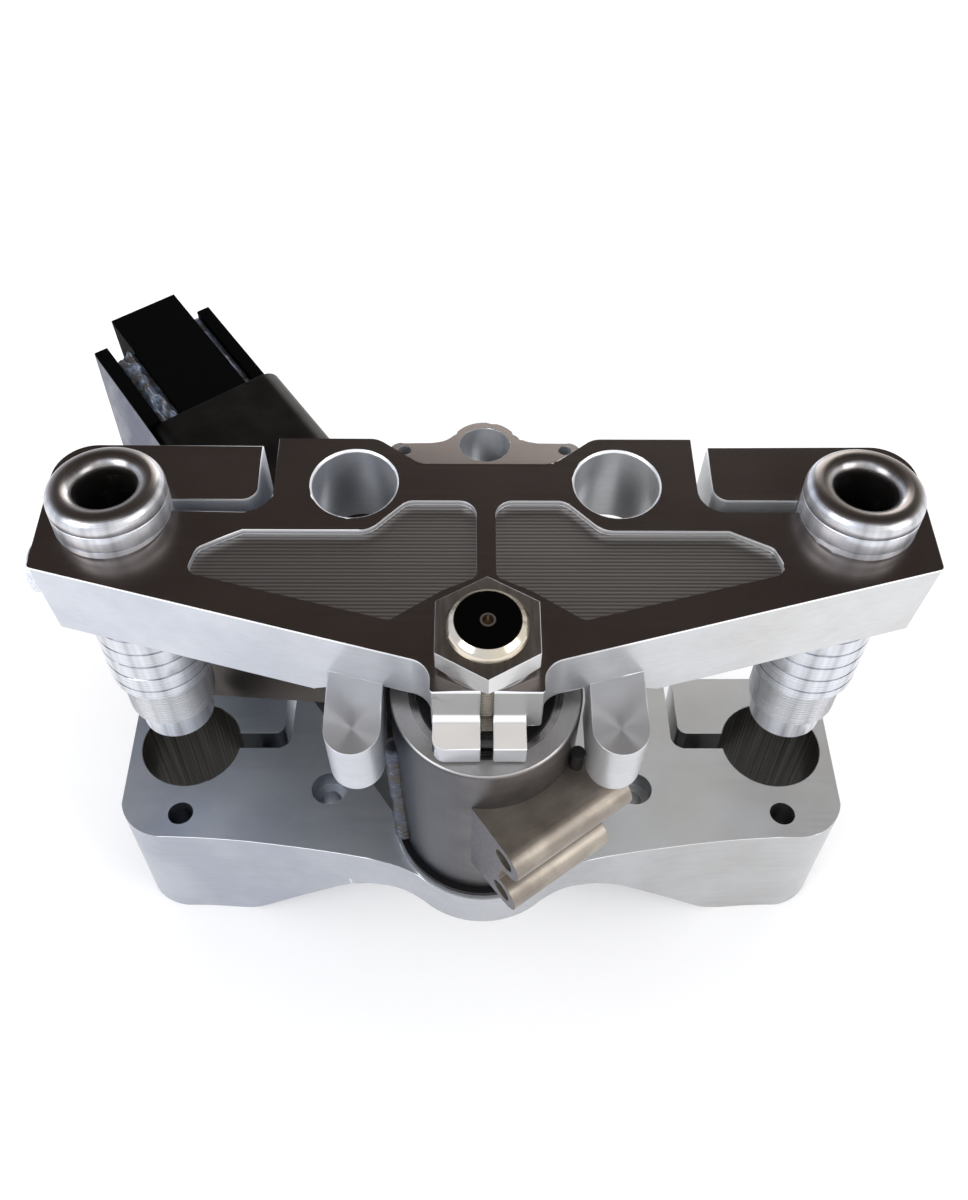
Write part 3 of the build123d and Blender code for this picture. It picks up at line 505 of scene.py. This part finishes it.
def turned_finish(name, place, light, dark, rough, mirror_x=False, throat=-1.0, crown=None, walls=0.0):
    """Lathe rings about the Z axis of a frame, or about two axes mirrored in X, with painted reflection
    bands, a painted shade in the throat and a painted reflection on an upward crown.
    """
    made, tree = finish(name)
    x, y, z = axes(tree, coordinates(tree, place))
    if mirror_x:
        x = calc(tree, "SUBTRACT", calc(tree, "ABSOLUTE", x), FORK_X)
    across = distance(tree, x, y)
    outside = remap(tree, across, throat, throat + 0.0015)
    rings = marks(tree, joined(tree, X=across, Z=z), (1800, 1, 1800), 2.0)
    reflection_bands = marks(tree, joined(tree, X=calc(tree, "ARCTAN2", y, x)), (2.6, 1, 1), 2.0)
    tone = mix(tree, remap(tree, rings, 0.3, 0.7), dark, light)
    # Painted reflection: broad dark bands round the axis.
    tone = mix(tree, remap(tree, reflection_bands, 0.42, 0.62, 0.0, 0.55), tone, shade(dark, 0.42))
    # Painted reflection: faces that look up take the crown colour, the dim ceiling they mirror.
    if crown:
        tone = mix(tree, remap(tree, facing(tree, UP), 0.70, 0.93), tone, crown)
    # Painted shade: inside the throat the colour is a flat dark brown-grey.
    tone = mix(tree, outside, (0.30, 0.28, 0.27, 1), tone)
    gloss = remap(tree, rings, 0.3, 0.7, rough, rough + 0.08)
    wall = remap(tree, calc(tree, "ABSOLUTE", facing(tree, UP)), 0.75, 0.2)
    body = calc(tree, "SUBTRACT", 1.0, times(tree, wall, outside, walls))
    metal(tree, tone, gloss, times(tree, rings, outside), 0.00004, 0.3, body)
    return made


polished = turned_finish("turned_aluminium", world_frame, (0.80, 0.82, 0.88, 1), (0.64, 0.66, 0.70, 1), 0.26,
                         mirror_x=True, throat=0.0122, walls=0.35)
# The crown colour is a painted reflection of the dim ceiling on the caps' tops.
crowned = turned_finish("polished_cap", world_frame, (0.74, 0.75, 0.79, 1), (0.60, 0.60, 0.63, 1), 0.25,
                        mirror_x=True, throat=0.0104, crown=(0.27, 0.24, 0.22, 1), walls=0.3)
turned_steel = turned_finish("turned_steel", stem_frame, (0.66, 0.64, 0.62, 1), (0.50, 0.48, 0.46, 1), 0.22)
print(polished.name, crowned.name, turned_steel.name)

# %% [markdown]
# ## Nut and stem
# The nut is plain steel; its flats that face the bright side of the room are painted lighter, a
# painted highlight, and its top is painted darker brown, a painted reflection. The stem's end is a
# pale chamfer round a black disc with a small ring in it; the disc's black is a painted reflection of
# the dim ceiling in its flat end. Two radii tell its colours apart, and below the nut a sine along the
# axis gives the thread lines.

# %% Nut and stem
DISC_RADIUS, DISC_HEIGHT, DIMPLE_OUTER, DIMPLE_INNER = 0.0101, 0.0148, 0.0024, 0.0017
THREAD_LINES = 6283.0  # radians per metre, which is one line each millimetre
nut_steel, tree = finish("nut_steel")
grain = marks(tree, coordinates(tree, stem_frame), (900, 60, 900))
upward = top_of(tree, stem_up)
rightward = remap(tree, facing(tree, (1, 0, 0)), 0.2, 0.6)
side_tone = mix(tree, grain, (0.34, 0.34, 0.345, 1), (0.50, 0.50, 0.50, 1))
# Painted highlight: flats that face right are painted lighter.
side_tone = mix(tree, rightward, side_tone, (0.86, 0.86, 0.86, 1))
# Painted reflection: the top is painted a darker brown, the dim ceiling it mirrors.
top_tone = mix(tree, grain, (0.30, 0.27, 0.25, 1), (0.44, 0.41, 0.38, 1))
body = calc(tree, "SUBTRACT", remap(tree, upward, 0.0, 1.0, 0.7, 1.0), times(tree, rightward, 0.3))
metal(tree, mix(tree, upward, side_tone, top_tone), remap(tree, grain, 0.3, 0.7, 0.30, 0.40), grain,
      0.00004, 0.3, body)

stem_steel, tree = finish("stem_end")
x, y, z = axes(tree, coordinates(tree, stem_frame))
across = distance(tree, x, y)
disc = times(tree, calc(tree, "LESS_THAN", across, DISC_RADIUS), calc(tree, "GREATER_THAN", z, DISC_HEIGHT))
dimple = times(tree, calc(tree, "LESS_THAN", across, DIMPLE_OUTER),
               calc(tree, "GREATER_THAN", across, DIMPLE_INNER), disc)
thread = times(tree, calc(tree, "SINE", times(tree, z, THREAD_LINES)), calc(tree, "LESS_THAN", z, 0.0))
# Painted reflection: the flat end inside the chamfer is painted near black, the dim ceiling it mirrors.
tone = mix(tree, disc, (0.66, 0.60, 0.50, 1), (0.012, 0.012, 0.012, 1))
tone = mix(tree, dimple, tone, (0.55, 0.53, 0.5, 1))
metal(tree, tone, remap(tree, disc, 0.0, 1.0, 0.16, 0.28), thread, 0.0003, 0.8)
print(nut_steel.name, stem_steel.name)

# %% [markdown]
# ## Even finishes
# Screws, rubber, paint and welds have no marked direction, so a speckle of noise between two tones
# is enough for each. A weld also shows blots of heat stain, so it takes a second, broader noise.

# %% Screws, rubber, paint and weld metal


def speckled(name, place, size, first, second, rough, relief, metallic, shine=None):
    """An even finish between two tones. Relief is its depth and its strength."""
    made, tree = finish(name)
    grain = marks(tree, coordinates(tree, place), size)
    shader = metal(tree, mix(tree, grain, first, second), remap(tree, grain, 0.3, 0.7, *rough), grain,
                   *relief, metallic)
    if shine is not None:
        shader.inputs["Specular IOR Level"].default_value = shine
    return made


def stained(name, blot, detail, speck, first, second, rough, relief, metallic):
    """Weld metal: blots of heat stain in the colour, and finer specks in the relief."""
    made, tree = finish(name)
    spot = coordinates(tree, arm_frame)
    stain = remap(tree, marks(tree, spot, (blot[0],) * 3, detail), *blot[1:])
    fine = marks(tree, spot, (speck,) * 3, 3.0)
    metal(tree, mix(tree, stain, first, second), remap(tree, fine, 0.3, 0.7, *rough), fine, *relief, metallic)
    return made


black_screw = speckled("black_oxide", world_frame, (500, 500, 500), (0.03, 0.03, 0.032, 1),
                       (0.06, 0.06, 0.062, 1), (0.30, 0.42), (0.00003, 0.3), 0.8)
rubber = speckled("seal_rubber", stem_frame, (900, 900, 900), (0.004, 0.004, 0.0045, 1),
                  (0.010, 0.010, 0.011, 1), (0.42, 0.55), (0.00005, 0.5), 0.0, 0.2)
dead_black = speckled("dead_black", arm_frame, (400, 400, 400), (0.0006, 0.0008, 0.0006, 1),
                      (0.002, 0.002, 0.002, 1), (0.55, 0.7), (0.00006, 0.4), 0.0, 0.02)
cut_thread = speckled("cut_thread", world_frame, (300, 300, 60), (0.50, 0.49, 0.48, 1),
                      (0.70, 0.70, 0.72, 1), (0.40, 0.50), (0.00001, 0.1), 0.75)
weld_metal = stained("weld_metal", (220, 0.42, 0.60), 5.0, 1200, (0.24, 0.29, 0.38, 1),
                     (0.12, 0.105, 0.10, 1), (0.34, 0.5), (0.0002, 0.5), 0.7)
bead_steel = stained("bead_steel", (160, 0.40, 0.62), 4.0, 900, (0.075, 0.088, 0.115, 1),
                     (0.080, 0.066, 0.054, 1), (0.30, 0.46), (0.0002, 0.4), 0.85)
print(black_screw.name, rubber.name, dead_black.name, cut_thread.name, weld_metal.name, bead_steel.name)

# %% [markdown]
# ## Frame steel
# The neck, its arm and its bracket are bare mild steel, brown from mill scale and handling, with
# drawing marks along the tube. Faces of the neck and the bracket that turn toward the front left take
# darker, bluish tones. The neck's mouth was faced on a lathe, so it is clean, and the gusset is painted
# dark brown where it hides under the arm, a painted shade.

# %% Frame steel finishes


def frame_steel(name, place, stretch, dark, light, rough, lines=0.3, lean_to=None, lean_tone=None, faced=None,
                shaded_under_arm=False):
    """Drawn bare steel with scale patches. Faces toward lean_to take another tone, a faced end is clean, and
    the part under the arm can be painted dark as shade.
    """
    made, tree = finish(name)
    spot = coordinates(tree, place)
    drawn = marks(tree, spot, stretch)
    scale_patch = remap(tree, marks(tree, spot, (45, 45, 45), 6.0), 0.38, 0.62)
    fine = marks(tree, spot, (700, 700, 700), 2.0)
    tone = mix(tree, times(tree, drawn, lines), mix(tree, scale_patch, dark, light), shade(dark, 0.6))
    if lean_to:
        tone = mix(tree, remap(tree, facing(tree, lean_to), 0.25, 0.9), tone, lean_tone)
    if faced:
        end = remap(tree, axes(tree, spot)["Z"], faced - 0.0006, faced - 0.0001)
        tone = mix(tree, end, tone, mix(tree, drawn, (0.46, 0.45, 0.44, 1), (0.60, 0.59, 0.58, 1)))
    # Painted shade: the part nearest the neck, under the arm, is painted dark brown.
    if shaded_under_arm:
        far = remap(tree, axes(tree, spot)["X"], 0.135, 0.175)
        tone = mix(tree, far, (0.055, 0.046, 0.040, 1), tone)
    gloss = remap(tree, drawn, 0.3, 0.7, rough, rough + 0.3 * lines)
    relief = plus(tree, times(tree, drawn, 1.4 * lines), times(tree, fine, 0.3))
    metal(tree, tone, gloss, relief, 0.00006, 0.30, 0.8)
    return made


arm_left = arm_frame.to_3x3() @ Vector((0, 1, 0))
MOUTH_HEIGHT = -0.0272
neck_steel = frame_steel("neck_steel", stem_frame, (900, 900, 12), (0.095, 0.086, 0.082, 1),
                         (0.185, 0.165, 0.155, 1), 0.34, lines=0.08, lean_to=(-0.9, -0.43, 0),
                         lean_tone=(0.036, 0.042, 0.058, 1), faced=MOUTH_HEIGHT)
arm_steel = frame_steel("arm_steel", arm_frame, (10, 700, 700), (0.010, 0.0085, 0.0075, 1),
                        (0.026, 0.022, 0.019, 1), 0.34)
bracket_steel = frame_steel("bracket_steel", arm_frame, (900, 14, 900), (0.27, 0.235, 0.20, 1),
                            (0.46, 0.41, 0.35, 1), 0.30, lines=0.45, lean_to=arm_left,
                            lean_tone=(0.07, 0.07, 0.085, 1))
gusset_steel = frame_steel("gusset_steel", arm_frame, (40, 500, 500), (0.17, 0.18, 0.22, 1),
                           (0.34, 0.34, 0.37, 1), 0.34, shaded_under_arm=True)
print(neck_steel.name, arm_steel.name, bracket_steel.name, gusset_steel.name)

# %% [markdown]
# ## Broken edges
# A machined part never has a knife edge: every corner gets a light touch with a file, and that
# narrow facet catches the light as a bright line. A CAD mesh is loose triangles, so a copy is
# merged, its flat areas are joined into whole faces, and a Bevel modifier breaks the sharp edges.
# Smooth shading would tip the corners of a large flat face toward the fillets beside it, so such
# faces get their own normal back.

# %% Helpers for broken edges
MERGE_DISTANCE, FLAT_ANGLE, SHARP_ANGLE = 0.000002, math.radians(0.2), math.radians(30)
MANY_CORNERS, LARGE_AREA = 6, 0.0004


def merged(node):
    """A copy of a CAD node's mesh with its loose triangles joined into whole faces."""
    form = bmesh.new()
    form.from_mesh(frame["nodes"][node].data)
    bmesh.ops.remove_doubles(form, verts=form.verts, dist=MERGE_DISTANCE)
    bmesh.ops.dissolve_limit(form, angle_limit=FLAT_ANGLE, verts=form.verts, edges=form.edges,
                             delimit={"NORMAL"})
    mesh = bpy.data.meshes.new(node + "_dressed")
    form.to_mesh(mesh)
    form.free()
    mesh.shade_smooth()
    mesh.set_sharp_from_angle(angle=SHARP_ANGLE)
    return mesh


def break_edges(piece, width, turned):
    """A Bevel on every sharp edge: one flat facet on a turned piece, a rounded edge on any other."""
    bevel = piece.modifiers.new("edge", "BEVEL")
    bevel.width, bevel.segments, bevel.limit_method = width, 1 if turned else 2, "ANGLE"
    bevel.angle_limit = SHARP_ANGLE
    bevel.offset_type = "ABSOLUTE"
    bevel.use_clamp_overlap = False
    bevel.harden_normals = not turned


def flatten(mesh):
    """Gives every large flat face its own normal."""
    normals = [corner.vector.copy() for corner in mesh.corner_normals]
    for face in mesh.polygons:
        if len(face.vertices) > MANY_CORNERS or face.area > LARGE_AREA:
            for corner in face.loop_indices:
                normals[corner] = face.normal.copy()
    mesh.normals_split_custom_set(normals)


def dressed(node, material, slot, edge, turned=False):
    """A merged copy of a CAD node with broken edges, standing for the node."""
    source = frame["nodes"][node]
    piece = bpy.data.objects.new(node + "_dressed", merged(node))
    bpy.context.scene.collection.objects.link(piece)
    if edge:
        break_edges(piece, edge, turned)
    graph = bpy.context.evaluated_depsgraph_get()
    whole = bpy.data.meshes.new_from_object(piece.evaluated_get(graph), preserve_all_data_layers=True,
                                            depsgraph=graph)
    piece.modifiers.clear()
    piece.data = whole
    if turned:
        whole.shade_smooth()
        whole.set_sharp_from_angle(angle=SHARP_ANGLE)
    else:
        flatten(whole)
    whole.materials.clear()
    whole.materials.append(material)
    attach(piece, source["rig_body"])
    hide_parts(node)
    return piece


print("edge helpers ready")

# %% [markdown]
# ## Which node gets what
# One table names each node's finish, its slot and the width of its broken edges in metres. A width
# of 0 keeps the CAD edge, as on the bearings, the screws and the caps, which are rounded already or
# don't show.

# %% Dress the CAD nodes
plain = {
    "upper_clamp": (billet, "clamp", 0.0006), "lower_clamp": (satin, "clamp", 0.0003),
    "end_button": (polished, "steel", 0.0), "steering_stem": (stem_steel, "steel", 0.0),
    "stem_nut": (nut_steel, "steel", 0.0003), "neck_tube": (neck_steel, "frame", 0.0003),
    "arm_tube": (arm_steel, "frame", 0.0004), "arm_left_rail": (dead_black, "black", 0.0004),
    "arm_right_rail": (dead_black, "black", 0.0004), "arm_block": (dead_black, "black", 0.0004),
    "arm_gusset": (gusset_steel, "frame", 0.0004), "neck_bracket": (bracket_steel, "frame", 0.0003),
    "bracket_peg": (black_screw, "screw", 0.0002),
    "lower_dust_seal": (rubber, "seal", 0.0003), "upper_dust_seal": (rubber, "seal", 0.0),
    "bearing_adjuster": (turned_steel, "steel", 0.0003),
}
for half in ("upper", "lower"):
    for part in ("cone", "race", "rollers"):
        plain[half + "_bearing_" + part] = (turned_steel, "steel", 0.0)
for screw in ("stem_pinch_screw", "upper_pinch_screw_left", "upper_pinch_screw_right",
              "lower_pinch_screws_left", "lower_pinch_screws_right"):
    plain[screw] = (black_screw, "screw", 0.0)
for side in ("left", "right"):
    plain["fork_stub_" + side] = plain["cap_ring_" + side] = (polished, "cap", 0.0002, True)
    plain["fork_cap_" + side] = (crowned, "cap", 0.0)
pieces = {name: dressed(name, *rest) for name, rest in plain.items()}
print(len(pieces), "nodes dressed,", sum(len(p.data.polygons) for p in pieces.values()), "faces")

# %% [markdown]
# ## Growing pieces with Geometry Nodes
# A thread and a row of weld ripples are one small form repeated by a rule, which is what Geometry
# Nodes are for. Each tree has named inputs, runs once on an empty object, and leaves a plain mesh.

# %% Helpers for Geometry Nodes


def node_tree(name, inputs):
    """A Geometry Nodes tree with named inputs and one geometry output."""
    tree = bpy.data.node_groups.new(name, "GeometryNodeTree")
    for label, kind in inputs.items():
        tree.interface.new_socket(name=label, in_out="INPUT", socket_type="NodeSocket" + kind)
    tree.interface.new_socket(name="Geometry", in_out="OUTPUT", socket_type="NodeSocketGeometry")
    return tree


def finished(tree, geometry, material):
    """The end of each tree: real geometry, smooth, in its material."""
    real = plant(tree, "GeometryNodeRealizeInstances", Geometry=geometry)
    smooth = plant(tree, "GeometryNodeSetShadeSmooth", Geometry=real.outputs[0])
    painted = plant(tree, "GeometryNodeSetMaterial", Geometry=smooth.outputs[0], Material=material)
    tree.links.new(painted.outputs[0], tree.nodes.new("NodeGroupOutput").inputs[0])


def grow(name, tree, values, place, body, stands_for=()):
    """Runs a tree once, keeps its result as a plain mesh, and hangs it on a body."""
    piece = bpy.data.objects.new(name, bpy.data.meshes.new(name))
    bpy.context.scene.collection.objects.link(piece)
    modifier = piece.modifiers.new("grow", "NODES")
    modifier.node_group = tree
    for item in tree.interface.items_tree:
        if item.in_out == "INPUT" and item.name in values:
            modifier[item.identifier] = values[item.name]
    graph = bpy.context.evaluated_depsgraph_get()
    mesh = bpy.data.meshes.new_from_object(piece.evaluated_get(graph), depsgraph=graph)
    piece.modifiers.clear()
    piece.data = mesh
    mesh.transform(place)
    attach(piece, body)
    if stands_for:
        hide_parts(*stands_for)
    print(name, len(mesh.polygons), "faces")
    return piece


print("geometry helpers ready")

# %% [markdown]
# ## Threads
# A thread is one ridge wound round a cylinder, so it needs one curve and one profile. The tree
# winds a spiral, sweeps a small diamond along it and lets half of the diamond stand out of the CAD
# cylinder. The pitch and the number of turns are inputs, so both stubs use the same tree.

# %% Thread on each fork stub
THREAD_RADIUS, THREAD_END, THREAD_START = 0.0166, 0.101, 0.080
PITCH = 0.0015
RIDGE = 0.18 * PITCH
TURNS = (THREAD_END - THREAD_START) / PITCH - 1.5
winding = node_tree("thread", {"Radius": "Float", "Pitch": "Float", "Turns": "Float", "Ridge": "Float",
                               "Finish": "Material"})
given = winding.nodes.new("NodeGroupInput").outputs
rise = plant(winding, "ShaderNodeMath", {"operation": "MULTIPLY"}, i0=given["Pitch"], i1=given["Turns"])
spiral = plant(winding, "GeometryNodeCurveSpiral", Resolution=64, Rotations=given["Turns"],
               Start_Radius=given["Radius"], End_Radius=given["Radius"], Height=rise.outputs[0])
diamond = plant(winding, "GeometryNodeCurvePrimitiveCircle", Resolution=4, Radius=given["Ridge"])
swept = plant(winding, "GeometryNodeCurveToMesh", Curve=spiral.outputs[0], Profile_Curve=diamond.outputs[0],
              Fill_Caps=True)
finished(winding, swept.outputs[0], given["Finish"])
for side, sign in (("left", -1), ("right", 1)):
    start = Matrix.Translation((sign * FORK_X, 0, FORK_TOP - THREAD_END + PITCH / 2))
    grow("stub_thread_" + side, winding,
         {"Radius": THREAD_RADIUS, "Pitch": PITCH, "Turns": TURNS, "Ridge": RIDGE, "Finish": cut_thread},
         start, "clamps")

# %% [markdown]
# ## The neck's weld
# The bead that joins the arm to the neck is a row of overlapping ripples, like fallen coins. The
# tree puts flattened balls along a line, each a little different in size by a fixed seed.

# %% Rippled bead down the neck
BEAD_STEP, BEAD_WIDTH, BEAD_SEED = 0.0019, 0.0036, 4
bead_foot, bead_head = Vector((0.0085, 0.0312, -0.1215)), Vector((0.0115, 0.0300, -0.0540))
beading = node_tree("bead", {"Length": "Float", "Step": "Float", "Width": "Float", "Finish": "Material"})
given = beading.nodes.new("NodeGroupInput").outputs
end = plant(beading, "ShaderNodeCombineXYZ", Z=given["Length"]).outputs[0]
line = plant(beading, "GeometryNodeCurvePrimitiveLine", End=end)
spaced = plant(beading, "GeometryNodeResampleCurve", {"mode": "LENGTH"}, Curve=line.outputs[0],
               Length=given["Step"])
ball = plant(beading, "GeometryNodeMeshUVSphere", Segments=20, Rings=10, Radius=1.0)
varied = plant(beading, "FunctionNodeRandomValue", {"data_type": "FLOAT"}, i2=0.86, i3=1.12, Seed=BEAD_SEED)
wide = plant(beading, "ShaderNodeMath", {"operation": "MULTIPLY"}, i0=given["Width"], i1=varied.outputs[1])
thick = plant(beading, "ShaderNodeMath", {"operation": "MULTIPLY"}, i0=given["Step"], i1=0.95)
size = plant(beading, "ShaderNodeCombineXYZ", X=wide.outputs[0], Y=wide.outputs[0], Z=thick.outputs[0])
laid = plant(beading, "GeometryNodeInstanceOnPoints", Points=spaced.outputs[0], Instance=ball.outputs[0],
             Scale=size.outputs[0])
finished(beading, laid.outputs[0], given["Finish"])
run = bead_head - bead_foot
laid_along = Matrix.Translation(bead_foot) @ run.to_track_quat("Z", "Y").to_matrix().to_4x4()
grow("neck_bead", beading,
     {"Length": run.length, "Step": BEAD_STEP, "Width": BEAD_WIDTH, "Finish": bead_steel},
     arm_frame @ laid_along, "neck", ("neck_weld",))

# %% [markdown]
# ## Welds between the bars
# Two passes of weld fill the space between the block and each bar. They are lumpy, so their top
# is a fine grid pushed up and down by noise, over straight sides that stay inside the bars. Coarse
# noise makes the lumps and fine noise roughens them, and the outer end is lumpy too.

# %% Lumpy weld strips
GRID_CUTS = 30
COARSE, FINE = Vector((190, 260, 190)), Vector((520, 520, 520))


def weld_strip(name, stands_for, height, seed):
    """The CAD bar's box again, with a top of rounded lumps."""
    source = frame["nodes"][stands_for]
    back = arm_frame.inverted()
    corners = [back @ v.co for v in source.data.vertices]
    low = Vector(min(c[i] for c in corners) for i in range(3))
    high = Vector(max(c[i] for c in corners) for i in range(3))
    form = bmesh.new()
    bmesh.ops.create_cube(form, size=1.0)
    bmesh.ops.subdivide_edges(form, edges=form.edges, cuts=GRID_CUTS, use_grid_fill=True)
    for v in form.verts:
        share = v.co + Vector((0.5, 0.5, 0.5))
        spot = Vector(low[i] + share[i] * (high[i] - low[i]) for i in range(3))
        lump = noise.noise(spot * COARSE + Vector((0, 0, seed)))
        lump += 0.5 * noise.noise(spot * FINE + Vector((0, 0, seed)))
        inside = min(share.y, 1 - share.y) * 2
        crown = math.sin(math.pi * min(1.0, max(0.0, share.y)))
        spot.z += share.z ** 3 * height * (0.5 * crown + 0.7 * lump * (0.3 + inside))
        spot.x += max(0.0, share.x - 0.9) * 10 * height * 0.5 * lump
        v.co = arm_frame @ spot
    mesh = bpy.data.meshes.new(name)
    form.normal_update()
    form.to_mesh(mesh)
    form.free()
    mesh.shade_smooth()
    mesh.materials.append(weld_metal)
    piece = bpy.data.objects.new(name, mesh)
    bpy.context.scene.collection.objects.link(piece)
    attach(piece, "neck")
    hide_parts(stands_for)
    return piece


strips = [weld_strip("weld_strip_left", "rail_weld_left", 0.0042, 3.0),
          weld_strip("weld_strip_right", "rail_weld_right", 0.0036, 8.0)]
print([len(s.data.polygons) for s in strips], "faces in the strips")
